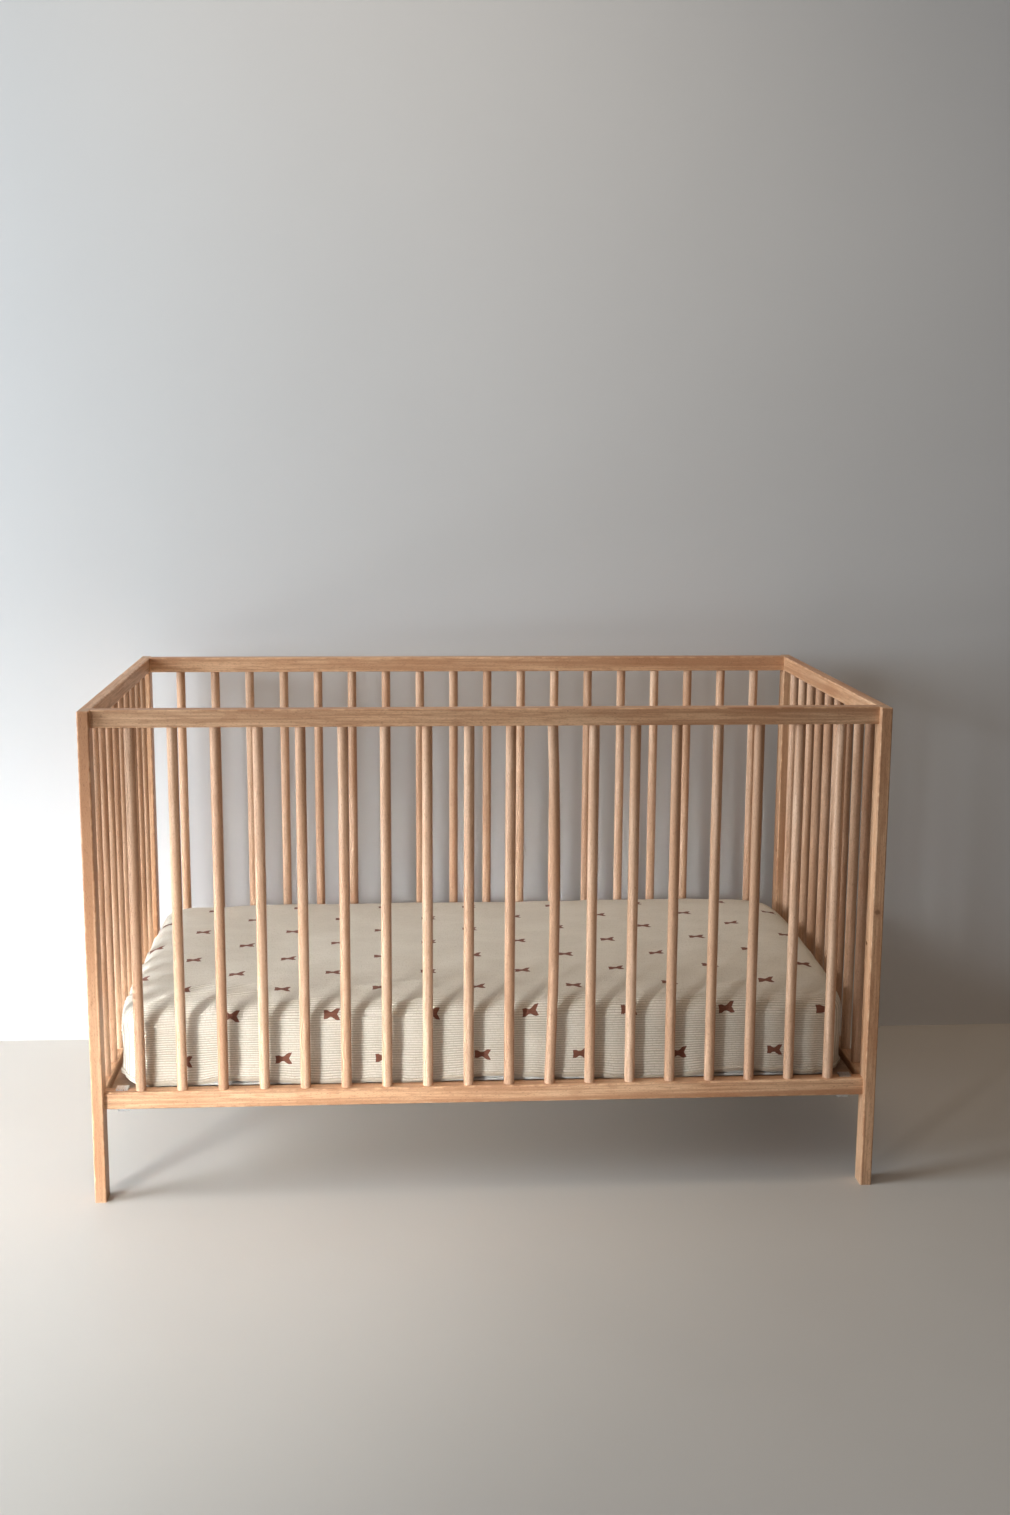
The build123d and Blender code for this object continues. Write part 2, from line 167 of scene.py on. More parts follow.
def wood(name, axis, seed, light, dark, fleck, per_stick=None, edges=None, knot=None):
    """Wood with its grain along an axis.

    per_stick is (axis, cell offset): each stick of a row gets its own tint. edges is the box whose
    arrises are painted lighter, partly as wear and partly as a painted highlight, and knot is the place of a
    small knot.
    """
    g = Graph(name, specular_ior_level=0.28)
    place = g.stretch((1, 1, 1), (seed * 1.7, seed * 2.3, seed * 0.9))
    tint = None
    if per_stick:
        across, offset = per_stick
        cell = g.math("FLOOR", g.math("MULTIPLY_ADD", g.split(g.place)[across], 1 / SPINDLE_PITCH, offset))
        tint = g.random(g.math("ADD", cell, seed))
        place = shifted(g, place, g.math("MULTIPLY", tint, 7.0))
    figure = g.noise(g.stretch(along_across(axis, 1.6, 34), vector=place), detail=2.5, distortion=0.7)
    lines = g.noise(g.stretch(along_across(axis, 5, 260), vector=place), detail=2, distortion=0.3)
    streaks = g.noise(g.stretch(along_across(axis, 21, 190), vector=place), detail=2, roughness=0.6)
    fibres = g.noise(g.stretch(along_across(axis, 22, 1300), vector=place), detail=2)
    rays = g.noise(g.stretch(along_across(axis, 210, 1700), vector=place), detail=1)
    patches = g.noise(place, scale=4.5, detail=2)
    rays = g.smooth(rays, 0.60, 0.70)
    colour = g.mix(g.smooth(figure, 0.30, 0.60), dark, light)
    colour = g.mix(g.smooth(lines, 0.40, 0.66, 0.0, 0.70), colour, dark)
    colour = g.mix(g.smooth(streaks, 0.48, 0.66, 0.0, 0.55), colour, dark)
    colour = g.mix(g.smooth(fibres, 0.35, 0.75, 0.0, 0.28), colour, dark)
    colour = g.mix(g.math("MULTIPLY", rays, 0.55), colour, fleck)
    colour = g.mix(g.smooth(patches, 0.35, 0.7, 0.0, 0.30), colour, (0.80, 0.58, 0.42), "MULTIPLY")
    if tint is not None:
        shade = g.add("ValToRGB", {0: tint})
        shade.color_ramp.elements[0].color = (0.84, 0.74, 0.66, 1)
        shade.color_ramp.elements[1].color = (1.10, 1.07, 1.02, 1)
        colour = g.mix(0.75, colour, shade.outputs[0], "MULTIPLY")
    ends = g.split(g.add("TexCoord").outputs["Normal"])[axis]
    ends = g.smooth(g.math("ABSOLUTE", ends), 0.80, 0.95)
    off_centre = g.stretch((1, 1, 1), (0.31, 0.17, 0.23), place)
    rings = g.add(
        "TexWave",
        {"Vector": off_centre, "Scale": 95.0, "Distortion": 2.5, "Detail": 2.0},
        wave_type="RINGS",
        rings_direction="XYZ"[axis],
    ).outputs[1]
    pores = g.noise(place, scale=1500, detail=1)
    end_colour = g.mix(g.math("MULTIPLY", rings, 0.55), [c * 0.74 for c in light], [c * 0.66 for c in dark])
    end_colour = g.mix(g.smooth(pores, 0.55, 0.7, 0.0, 0.4), end_colour, fleck)
    colour = g.mix(g.math("MULTIPLY", ends, 0.85), colour, end_colour)
    roughness = g.smooth(fibres, 0.2, 0.8, 0.40, 0.56)
    if edges:
        # The arrises are painted lighter in patches: partly wear, partly a painted highlight.
        rubbed_and_highlit = edge_mask(g, *edges, 0.0045)
        rubbed_and_highlit = g.math("MULTIPLY", rubbed_and_highlit, g.smooth(g.noise(g.place, scale=55, detail=3), 0.42, 0.66))
        colour = g.mix(g.math("MULTIPLY", rubbed_and_highlit, 0.45), colour, [min(1, c * 1.35) for c in light])
        roughness = g.math("MULTIPLY_ADD", rubbed_and_highlit, -0.10, roughness)
        # The lowest few centimetres are painted a little darker, in patches.
        low = g.smooth(g.split(g.place)[2], 0.002, 0.05, 1.0, 0.0)
        low = g.math("MULTIPLY", low, g.noise(g.place, scale=60, detail=3))
        colour = g.mix(g.math("MULTIPLY", low, 0.5), colour, (0.30, 0.21, 0.14))
    if knot:
        away = g.add("VectorMath", {0: g.place, 1: knot}, operation="DISTANCE").outputs["Value"]
        away = g.math("ADD", away, g.math("MULTIPLY", g.noise(g.place, scale=220), 0.004))
        colour = g.mix(g.smooth(away, 0.0045, 0.0085, 0.85, 0.0), colour, (0.13, 0.055, 0.025))
        colour = g.mix(g.smooth(away, 0.008, 0.02, 0.35, 0.0), colour, dark)
    height = g.math("MULTIPLY_ADD", rays, -0.5, g.math("ADD", fibres, g.math("MULTIPLY", lines, 0.5)))
    return g.finish(colour, roughness, height, 0.00035, 0.30)


# light, dark and fleck colours
BEECH = ((0.770, 0.490, 0.295), (0.470, 0.240, 0.125), (0.200, 0.080, 0.038))
# The spindles' beech is BEECH painted lighter and pinker: a painted highlight for the strong light on them.
HIGHLIT_SPINDLE_BEECH = ((0.790, 0.560, 0.405), (0.555, 0.345, 0.220), (0.200, 0.080, 0.038))
PINE = ((0.66, 0.47, 0.27), (0.50, 0.31, 0.15), (0.34, 0.18, 0.08))


def board():
    """Hardboard: pressed brown fibre, smooth on top, with the grooves of a fine cell network painted darker
    as shade.
    """
    g = Graph("fibreboard", specular_ior_level=0.3)
    strands = g.noise(g.place, scale=900, detail=3, distortion=1.5)
    clumps = g.noise(g.place, scale=60, detail=4)
    cells = {"Vector": g.stretch((1, 1, 1)), "Scale": 430.0}
    mesh = g.add("TexVoronoi", cells, feature="DISTANCE_TO_EDGE").outputs[0]
    colour = g.mix(g.smooth(strands, 0.3, 0.7), (0.300, 0.182, 0.110), (0.455, 0.300, 0.195))
    colour = g.mix(g.smooth(clumps, 0.4, 0.7, 0.0, 0.5), colour, (0.52, 0.36, 0.25))
    # Painted shade: the grooves of the cell network are darkened.
    colour = g.mix(g.smooth(mesh, 0.0, 0.12, 0.35, 0.0), colour, (0.20, 0.11, 0.065))
    height = g.math("MULTIPLY_ADD", strands, 0.7, g.smooth(mesh, 0.0, 0.2))
    return g.finish(colour, g.smooth(strands, 0.2, 0.8, 0.52, 0.78), height, 0.0003, 0.4)


def zinc():
    """Bright zinc plate, with the drawn lines and dull spots that screws and hooks have."""
    g = Graph("zinc_steel", metallic=1.0)
    spots = g.noise(g.place, scale=520, detail=3)
    lines = g.noise(g.stretch((60, 60, 2600)), detail=2)
    colour = g.mix(g.smooth(spots, 0.35, 0.7), (0.72, 0.73, 0.74), (0.50, 0.515, 0.53))
    colour = g.mix(g.smooth(lines, 0.55, 0.8, 0.0, 0.35), colour, (0.40, 0.40, 0.39))
    return g.finish(colour, g.smooth(spots, 0.3, 0.75, 0.24, 0.46), lines, 0.00015, 0.35)


def mattress_cover():
    """White knitted ticking: columns of small stitches with a soft nap."""
    g = Graph("mattress_cover", sheen_weight=0.3, sheen_roughness=0.5, specular_ior_level=0.2)
    x, y, z = g.split(g.place)
    across = g.math("ADD", x, y)
    stitch = g.math("SINE", g.math("MULTIPLY", across, math.tau / 0.0021))
    upward = g.math("ADD", z, g.math("SUBTRACT", x, y))
    row = g.math("SINE", g.math("MULTIPLY_ADD", upward, math.tau / 0.0026, stitch))
    knit = g.math("MULTIPLY_ADD", g.math("MULTIPLY", stitch, row), 0.5, 0.5)
    nap = g.noise(g.place, scale=1400, detail=2)
    # Painted shade: the knit is darker in its hollows.
    colour = g.mix(knit, (0.64, 0.62, 0.575), (0.84, 0.82, 0.775))
    clouds = g.smooth(g.noise(g.place, scale=14, detail=3), 0.45, 0.75, 0.0, 0.3)
    colour = g.mix(clouds, colour, (0.70, 0.66, 0.58))
    height = g.math("MULTIPLY_ADD", nap, 0.4, knit)
    return g.finish(colour, g.smooth(nap, 0.3, 0.7, 0.80, 0.95), height, 0.0005, 0.6)


def bow_ties(g, flat):
    """1 inside the printed motif. In each cell u runs along the bow tie and v across it, in metres."""
    s, t, _ = g.split(flat)
    ragged = g.math("SUBTRACT", g.noise(g.stretch((700, 700, 1), vector=flat), detail=2), 0.5)
    row = g.math("ROUND", g.math("DIVIDE", g.math("SUBTRACT", t, FIRST_ROW), ROW_PITCH))
    v = g.math("SUBTRACT", g.math("SUBTRACT", t, FIRST_ROW), g.math("MULTIPLY", row, ROW_PITCH))
    v = g.math("MULTIPLY_ADD", ragged, 0.0022, v)
    odd = g.math("ABSOLUTE", g.math("MODULO", row, 2.0))
    start = g.math("MULTIPLY_ADD", odd, ODD_SHIFT, EVEN_START)
    turn = g.random(row)
    along = g.math("SUBTRACT", g.math("SUBTRACT", s, start), g.math("MULTIPLY_ADD", turn, 0.010, -0.005))
    column = g.math("ROUND", g.math("DIVIDE", along, MOTIF_PITCH))
    u = g.math("SUBTRACT", along, g.math("MULTIPLY", column, MOTIF_PITCH))
    # Each one is printed a little askew.
    skew = g.random(g.math("MULTIPLY_ADD", row, 17.0, column))
    v = g.math("MULTIPLY_ADD", g.math("MULTIPLY_ADD", skew, 0.44, -0.26), u, v)
    u = g.math("MULTIPLY_ADD", ragged, 0.0016, u)
    height_v = g.math("ABSOLUTE", v)
    right = g.math("GREATER_THAN", u, -WAIST)
    from_waist = g.math("ABSOLUTE", g.math("ADD", u, WAIST))
    # The right wing is larger and forked, the left one smaller and nearly square.
    left_half = g.smooth(from_waist, 0.0005, 0.0075, 0.0048, 0.0082)
    right_half = g.smooth(from_waist, 0.0005, 0.0115, 0.0048, 0.0112)
    left_end = g.math("MULTIPLY_ADD", height_v, 0.10, 0.0118)
    right_end = g.math("MULTIPLY_ADD", height_v, 0.50, 0.0118)
    half = g.math("MULTIPLY_ADD", right, g.math("SUBTRACT", right_half, left_half), left_half)
    end = g.math("MULTIPLY_ADD", right, g.math("SUBTRACT", right_end, left_end), left_end)
    end = g.math("MINIMUM", end, g.math("MULTIPLY_ADD", right, 0.0035, 0.0130))
    inside = g.math("MINIMUM", g.math("SUBTRACT", half, height_v), g.math("SUBTRACT", end, from_waist))
    return g.smooth(inside, -0.0003, 0.0005)


def printed_cotton(name, stitched=False):
    """Cream ribbed muslin, printed with small bow ties in staggered rows.

    Ribs and print are laid out on the cloth's own flat cut, in metres. stitched is for the hem, which
    has a line of stitches instead of the print.
    """
    g = Graph(name, sheen_weight=0.06, sheen_roughness=0.45, specular_ior_level=0.12)
    flat = g.add("UVMap", uv_map="flat").outputs[0]
    waver = g.math("SUBTRACT", g.noise(g.stretch((26, 90, 1), vector=flat), detail=2), 0.5)
    s, t, _ = g.split(flat)
    t_rib = g.math("MULTIPLY_ADD", waver, 0.0015, t)
    wave = g.math("COSINE", g.math("MULTIPLY", t_rib, math.tau / RIB_PITCH))
    fade = g.smooth(g.noise(g.stretch((9, 16, 1), vector=flat), detail=2), 0.25, 0.65, 0.60, 1.0)
    groove = g.math("MULTIPLY", g.smooth(wave, 0.0, 0.80), fade)
    picks = g.noise(g.stretch((430, 150, 1), vector=flat), detail=2, roughness=0.6)
    threads = g.noise(g.stretch((1500, 1500, 1), vector=flat), detail=1)
    dashes = g.math("MULTIPLY", g.smooth(picks, 0.50, 0.68), g.math("SUBTRACT", 1.0, groove))
    colour = g.mix(g.smooth(threads, 0.3, 0.7), (0.760, 0.705, 0.605), (0.830, 0.780, 0.685))
    # Painted shade: the grooves between the ribs are darkened.
    colour = g.mix(g.math("MULTIPLY", groove, 0.78), colour, (0.400, 0.335, 0.235))
    colour = g.mix(g.math("MULTIPLY", dashes, 0.45), colour, (0.500, 0.435, 0.325))
    slubs = g.smooth(g.noise(g.stretch((55, 900, 1), vector=flat), detail=2), 0.64, 0.74)
    colour = g.mix(g.math("MULTIPLY", slubs, 0.25), colour, (0.86, 0.82, 0.74))
    if not stitched:
        ink = g.mix(g.smooth(threads, 0.25, 0.75), (0.150, 0.047, 0.026), (0.240, 0.080, 0.044))
        # Painted shade: the print is darker in the rib grooves too.
        ink = g.mix(g.math("MULTIPLY", groove, 0.35), ink, (0.14, 0.045, 0.03))
        colour = g.mix(g.math("MULTIPLY", bow_ties(g, flat), 0.96), colour, ink)
    height = g.math("MULTIPLY_ADD", dashes, -0.55, g.math("MULTIPLY", threads, 0.22))
    height = g.math("MULTIPLY_ADD", groove, -1.0, height)
    if stitched:
        thread = g.math("MULTIPLY", s, 1 / STITCH_PITCH)
        dash = g.math("ABSOLUTE", g.math("SUBTRACT", g.math("FRACT", thread), 0.5))
        dash = g.smooth(dash, 0.30, 0.38, 1.0, 0.0)
        line = g.smooth(g.math("ABSOLUTE", g.math("SUBTRACT", t, STITCH_LINE)), 0.0003, 0.0007, 1.0, 0.0)
        stitch = g.math("MULTIPLY", dash, line)
        colour = g.mix(0.45, colour, (0.50, 0.41, 0.30))
        colour = g.mix(stitch, colour, (0.84, 0.80, 0.71))
        height = g.math("ADD", g.math("MULTIPLY", height, 0.4), g.math("MULTIPLY", stitch, 1.2))
    return g.finish(colour, g.smooth(threads, 0.3, 0.7, 0.82, 0.95), height, 0.0010, 0.85)


def plain(name, colour, variation, roughness):
    """A studio surface: one pale colour with the faint clouding of paint."""
    g = Graph(name)
    clouds = g.noise(g.place, scale=1.3, detail=4)
    fine = g.noise(g.place, scale=140, detail=3)
    shade = g.mix(g.smooth(clouds, 0.3, 0.7), colour, [c * variation for c in colour])
    return g, g.finish(shade, roughness, fine, 0.0006, 0.15)


# ---------------------------------------------------------------- CAD nodes
def node_axis(name):
    low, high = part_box(name)
    size = high - low
    return max(range(3), key=lambda k: size[k])


def dress(name, material):
    for slot in nodes[name].material_slots:
        slot.material = material


post_low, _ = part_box("post_front_right")
knot_at = (post_low.x + KNOT_INSET, post_low.y, KNOT_HEIGHT)
metal, panel = zinc(), board()
for seed, name in enumerate(sorted(nodes)):
    if name in ("mattress", "fitted_sheet"):
        continue
    if any(word in name for word in ("bolt", "nut", "screw", "hook")):
        dress(name, metal)
    elif name == "base_panel":
        dress(name, panel)
    elif name.startswith("base_"):
        dress(name, wood(name, node_axis(name), seed, *PINE))
    elif "spindles" in name:
        row = (1, 0.5) if name.startswith("end_") else (0, 0.0)
        dress(name, wood(name, 2, seed, *HIGHLIT_SPINDLE_BEECH, per_stick=row))
    elif "dowels" in name:
        axis = 1 if name.startswith("end_") else 0
        dress(name, wood(name, axis, seed, *BEECH))
    else:
        spot = knot_at if name == "post_front_right" else None
        dress(name, wood(name, node_axis(name), seed, *BEECH, edges=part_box(name), knot=spot))


# ---------------------------------------------------------------- mesh helpers
def read(mesh):
    points = np.zeros(len(mesh.vertices) * 3)
    mesh.vertices.foreach_get("co", points)
    return points.reshape(-1, 3)


def write(mesh, points):
    mesh.vertices.foreach_set("co", points.astype(np.float32).ravel())
    mesh.update()


def normals(mesh):
    out = np.zeros(len(mesh.vertices) * 3)
    mesh.vertex_normals.foreach_get("vector", out)
    return out.reshape(-1, 3)


def new_piece(name, points, faces, uv=None):
    mesh = bpy.data.meshes.new(name)
    mesh.from_pydata([tuple(p) for p in points], [], faces)
    if uv is not None:
        mesh.uv_layers.new(name="flat").uv.foreach_set("vector", np.asarray(uv, np.float32).ravel())
    mesh.polygons.foreach_set("use_smooth", [True] * len(mesh.polygons))
    mesh.update()
    piece = bpy.data.objects.new(name, mesh)
    bpy.context.scene.collection.objects.link(piece)
    return piece


def apply_modifiers(piece):
    graph = bpy.context.evaluated_depsgraph_get()
    final = piece.evaluated_get(graph)
    mesh = bpy.data.meshes.new_from_object(final, preserve_all_data_layers=True, depsgraph=graph)
    piece.modifiers.clear()
    old, piece.data = piece.data, mesh
    mesh.name = piece.name
    bpy.data.meshes.remove(old)
    mesh.polygons.foreach_set("use_smooth", [True] * len(mesh.polygons))


def subdivide(piece, levels=1):
    piece.modifiers.new("smooth", "SUBSURF").levels = levels
    piece.modifiers["smooth"].render_levels = levels
    bpy.context.view_layer.update()
    apply_modifiers(piece)


def waves(points, count, wavelength, spread, seed, squeeze=(1, 1, 1)):
    """Smooth noise from plane waves in random directions, about -1 to 1."""
    pick = np.random.default_rng(seed)
    total = np.zeros(len(points))
    for _ in range(count):
        direction = pick.normal(size=3) * squeeze
        direction /= np.linalg.norm(direction) + 1e-9
        length = wavelength * math.exp(pick.uniform(-spread, spread))
        total += np.sin(points @ direction * math.tau / length + pick.uniform(0, math.tau))
    return total / math.sqrt(count / 2) / 2


# ---------------------------------------------------------------- mattress
low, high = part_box("mattress")
half_x, half_y = (high.x - low.x) / 2, (high.y - low.y) / 2


def box_grid(size, cell):
    """Integer grid points over a box's six sides, with outward quads, as (points, faces)."""
    counts = [max(2, round(s / cell)) for s in size]
    found, points, faces = {}, [], []

    def corner(*at):
        if at not in found:
            found[at] = len(points)
            points.append(at)
        return found[at]

    for axis in range(3):
        u, v = (axis + 1) % 3, (axis + 2) % 3
        for side in (0, counts[axis]):
            for i in range(counts[u]):
                for j in range(counts[v]):
                    ring = []
                    for di, dj in ((0, 0), (1, 0), (1, 1), (0, 1)):
                        at = [0, 0, 0]
                        at[axis], at[u], at[v] = side, i + di, j + dj
                        ring.append(corner(*at))
                    faces.append(ring if side else ring[::-1])
    return np.array(points, float) / counts, faces


def rounded(unit, grow):
    """Lays grid points over a unit box on the mattress's rounded form, grown by grow.

    Also gives, for each point, the plan point where the top edge's bend starts, and the length of
    cloth from there down to the point.
    """
    a, b = half_x + grow, half_y + grow
    z_low, z_high = low.z - min(grow, 0), high.z + grow
    x, y = (unit[:, 0] * 2 - 1) * a, (unit[:, 1] * 2 - 1) * b
    z = z_low + unit[:, 2] * (z_high - z_low)
    inset = np.minimum(a - abs(x), b - abs(y))
    radius = np.maximum(CORNER - inset, 0)
    cx = np.clip(x, -(a - inset - radius), a - inset - radius)
    cy = np.clip(y, -(b - inset - radius), b - inset - radius)
    away = np.stack([x - cx, y - cy], 1)
    away /= np.maximum(np.linalg.norm(away, axis=1), 1e-12)[:, None]
    ring_x, ring_y = cx + away[:, 0] * radius, cy + away[:, 1] * radius
    out, rise, arc = np.zeros(len(x)), z.copy(), np.zeros(len(x))
    for r, edge, sign in ((TOP_EDGE, z_high, 1), (BOTTOM_EDGE, z_low, -1)):
        flat_side = unit[:, 2] == (1 if sign > 0 else 0)
        near = flat_side & (inset < r)
        reach = np.hypot(r - inset, r)
        out = np.where(near, inset - r + r * (r - inset) / reach, out)
        rise = np.where(near, edge - sign * (r - r * r / reach), rise)
        depth = abs(z - edge)
        wall = ~flat_side & (inset < 1e-9)
        bend = wall & (depth < r)
        reach = np.hypot(r, r - depth)
        out = np.where(bend, -r + r * r / reach, out)
        rise = np.where(bend, edge - sign * (r - r * (r - depth) / reach), rise)
        if sign > 0:
            arc = np.where(near, r * np.arctan2(r - inset, r), arc)
            bent = r * (math.pi / 2 - np.arctan2(r - depth, r))
            hanging = r * math.pi / 2 + depth - r
            arc = np.where(wall, np.where(depth < r, bent, hanging), arc)
    moved = np.stack([ring_x + away[:, 0] * out, ring_y + away[:, 1] * out, rise], 1)
    inner = np.stack([ring_x, ring_y], 1) - away * (TOP_EDGE - inset)[:, None]
    start = np.where((inset < TOP_EDGE)[:, None], inner, moved[:, :2])
    return moved, start, arc


def crowned(points):
    """The worn-in form: low in front and at the corners, full in the middle and back, bowed at the ends."""
    along, across = points[:, 0] / half_x, points[:, 1] / half_y
    lift = np.clip((points[:, 2] - low.z) / (high.z - low.z), 0, 1) ** 2
    to_back = np.clip((across + 1) / 2, 0, 1)
    rise = -FRONT_DIP + BACK_RISE * np.sin(np.clip(to_back * 1.35, 0, 1) * math.pi / 2)
    corners = np.clip(abs(along) - 0.72, 0, 1) / 0.28 * np.clip(abs(across) - 0.35, 0, 1) / 0.65
    rise += 0.0015 * along - CORNER_DROP * corners**1.3
    rise += 0.0065 * np.clip((along - 0.35) / 0.5, 0, 1) ** 2 * np.clip(1 - across**2, 0, 1)
    end_bow = np.where(along > 0, RIGHT_BOW, LEFT_BOW)
    near_end = np.sign(along) * np.clip(abs(along) - 0.6, 0, 1) / 0.4
    bow = end_bow * near_end * (1 - across**4) * np.clip(lift * 4, 0, 1)
    return points + np.stack([bow, np.zeros(len(points)), rise * lift], 1)


unit, faces = box_grid((half_x * 2, half_y * 2, high.z - low.z), CELL)
points, _, _ = rounded(unit, -SHRUNK)
mattress = new_piece("mattress_pad", crowned(points), faces)


def swell(piece, cap, frames=20, pressure=4.0):
    """Blows the closed form up as cloth, then caps how far each point may move."""
    start = read(piece.data)
    cloth = piece.modifiers.new("cloth", "CLOTH")
    cloth.settings.use_pressure = True
    cloth.settings.uniform_pressure_force = pressure
    cloth.settings.effector_weights.gravity = 0
    cloth.settings.mass = 0.35
    cloth.settings.quality = 5
    cloth.point_cache.frame_start, cloth.point_cache.frame_end = 1, frames
    scene = bpy.context.scene
    for number in range(1, frames + 1):
        scene.frame_set(number)
    apply_modifiers(piece)
    scene.frame_set(1)
    moved = read(piece.data) - start
    length = np.linalg.norm(moved, axis=1)
    write(piece.data, start + moved * np.minimum(1, cap / np.maximum(length, 1e-9))[:, None])


swell(mattress, SIM_CAP)
shape = read(mattress.data)
lift = np.clip((shape[:, 2] - low.z) / (high.z - low.z), 0, 1)
shape[:, 2] += 0.0011 * waves(shape, 14, wavelength=0.33, spread=0.5, seed=3) * lift**3
shape[:, 0] = np.clip(shape[:, 0], -half_x - LEFT_ROOM, half_x + RIGHT_ROOM)
shape[:, 1] = np.clip(shape[:, 1], -half_y, half_y)
shape[:, 2] = np.maximum(shape[:, 2], low.z + 0.0003)
write(mattress.data, shape)
pad_normals = normals(mattress.data)

# ---------------------------------------------------------------- fitted sheet
rows = max(2, round((high.z - low.z) / CELL))
keep_row = round(HEM_HEIGHT / (high.z - low.z) * rows)
level = np.round(unit[:, 2] * rows).astype(int)
_, start, arc = rounded(unit, 0.0)
kept_faces = [f for f in faces if min(level[v] for v in f) >= keep_row]
kept = sorted({v for f in kept_faces for v in f})
renumber = {v: i for i, v in enumerate(kept)}
uv = []
for face in kept_faces:
    middle = unit[face].mean(0)
    to_end = half_x * (1 - abs(middle[0] * 2 - 1))
    to_side = half_y * (1 - abs(middle[1] * 2 - 1))
    for v in face:
        s, t = start[v]
        if arc[v] > 0 and to_side <= to_end:
            t += math.copysign(arc[v], middle[1] - 0.5)
        elif arc[v] > 0:
            s += math.copysign(arc[v], middle[0] - 0.5)
        uv.append((s, t))
cloth_points = shape[kept] + pad_normals[kept] * CLOTH_GAP
sheet = new_piece("fitted_sheet_cloth", cloth_points, [[renumber[v] for v in f] for f in kept_faces], uv)
subdivide(sheet)


def ridge(points, path, width, height):
    """A soft fold along a path of points, tapering at both ends."""
    path = np.array(path, float)
    best = np.full(len(points), 1e9)
    along = np.zeros(len(points))
    total = np.linalg.norm(np.diff(path, axis=0), axis=1).sum()
    gone = 0.0
    for a, b in zip(path[:-1], path[1:]):
        step = b - a
        length = np.linalg.norm(step)
        share = np.clip((points - a) @ step / length**2, 0, 1)
        away = np.linalg.norm(points - a - share[:, None] * step, axis=1)
        closer = away < best
        best = np.where(closer, away, best)
        along = np.where(closer, (gone + share * length) / total, along)
        gone += length
    taper = np.sin(np.clip(along, 0, 1) * math.pi) ** 0.7
    return height * taper * np.exp(-((best / width) ** 2))


top = high.z
front, back = -half_y, half_y
FOLDS = [
    # (path, width, height): long folds that rise to the right over the front top edge
    ([(-0.62, front + 0.03, top), (-0.50, front + 0.085, top), (-0.36, front + 0.15, top)], 0.010, 0.0048),
    ([(-0.56, front, top - 0.02), (-0.42, front + 0.015, top), (-0.25, front + 0.06, top)], 0.008, 0.0054),
    ([(-0.36, front, top - 0.03), (-0.22, front + 0.006, top - 0.004), (-0.06, front + 0.05, top)],
     0.008, 0.0052),
    ([(-0.30, front + 0.09, top), (-0.12, front + 0.12, top), (0.04, front + 0.17, top)], 0.012, 0.0028),
    ([(-0.10, front, top - 0.024), (0.05, front + 0.01, top - 0.001), (0.24, front + 0.065, top)],
     0.008, 0.0052),
    ([(0.12, front, top - 0.03), (0.26, front + 0.004, top - 0.006), (0.42, front + 0.045, top)],
     0.008, 0.0048),
    ([(0.30, front + 0.05, top), (0.44, front + 0.075, top), (0.58, front + 0.12, top)], 0.012, 0.0030),
    # pulled wrinkles over the left end
    ([(-0.652, -0.29, top - 0.09), (-0.640, -0.23, top - 0.02), (-0.57, -0.15, top)], 0.0052, 0.0072),
    ([(-0.652, -0.22, top - 0.07), (-0.638, -0.16, top - 0.01), (-0.58, -0.08, top)], 0.0050, 0.0068),
    ([(-0.652, -0.14, top - 0.07), (-0.638, -0.08, top - 0.01), (-0.59, 0.00, top)], 0.0050, 0.0064),
    ([(-0.652, -0.05, top - 0.06), (-0.636, 0.01, top - 0.01), (-0.59, 0.08, top)], 0.0050, 0.0060),
    ([(-0.652, 0.05, top - 0.06), (-0.636, 0.11, top - 0.01), (-0.60, 0.18, top)], 0.0055, 0.0054),
    ([(-0.61, -0.31, top - 0.004), (-0.53, -0.24, top), (-0.44, -0.20, top)], 0.0070, 0.0054),
    ([(-0.56, -0.325, top - 0.006), (-0.48, -0.28, top), (-0.38, -0.25, top)], 0.0065, 0.0046),
    ([(-0.648, -0.29, top - 0.05), (-0.61, -0.325, top - 0.03), (-0.52, -0.338, top - 0.05)], 0.008, 0.0036),
    # two short light folds near the right back
    ([(0.38, 0.20, top), (0.42, 0.13, top), (0.45, 0.05, top)], 0.0065, 0.0062),
    ([(0.44, 0.22, top), (0.47, 0.15, top), (0.50, 0.08, top)], 0.006, 0.0055),
    # the right end and the back
    ([(0.56, 0.05, top), (0.62, -0.03, top - 0.006), (0.648, -0.10, top - 0.06)], 0.009, 0.0036),
    ([(0.55, -0.14, top), (0.62, -0.21, top - 0.006), (0.648, -0.27, top - 0.07)], 0.009, 0.0036),
    ([(-0.40, back, top - 0.03), (-0.22, back - 0.01, top - 0.002), (-0.02, back - 0.05, top)],
     0.010, 0.0034),
    ([(0.02, back, top - 0.03), (0.20, back - 0.01, top - 0.002), (0.36, back - 0.06, top)], 0.010, 0.0034),
]
cloth = read(sheet.data)
facing = normals(sheet.data)
cloth_uv = np.zeros((len(cloth), 2))
loop_uv = np.zeros(len(sheet.data.loops) * 2)
sheet.data.uv_layers["flat"].uv.foreach_get("vector", loop_uv)
loop_vertex = np.zeros(len(sheet.data.loops), int)
sheet.data.loops.foreach_get("vertex_index", loop_vertex)
cloth_uv[loop_vertex] = loop_uv.reshape(-1, 2)
depth = np.clip((top - cloth[:, 2]) / (top - low.z - HEM_HEIGHT), 0, 1)
drop = np.clip((depth - 0.12) / 0.3, 0, 1)
push = sum(ridge(cloth, *fold) for fold in FOLDS)
slack = waves(cloth, 18, wavelength=0.16, spread=0.6, seed=5, squeeze=(1.0, 0.5, 0.6))
creases = waves(cloth, 16, wavelength=0.055, spread=0.5, seed=8)
push += 0.0009 * (1 + slack)
push += 0.0008 * (1 + creases) * (0.4 + drop)
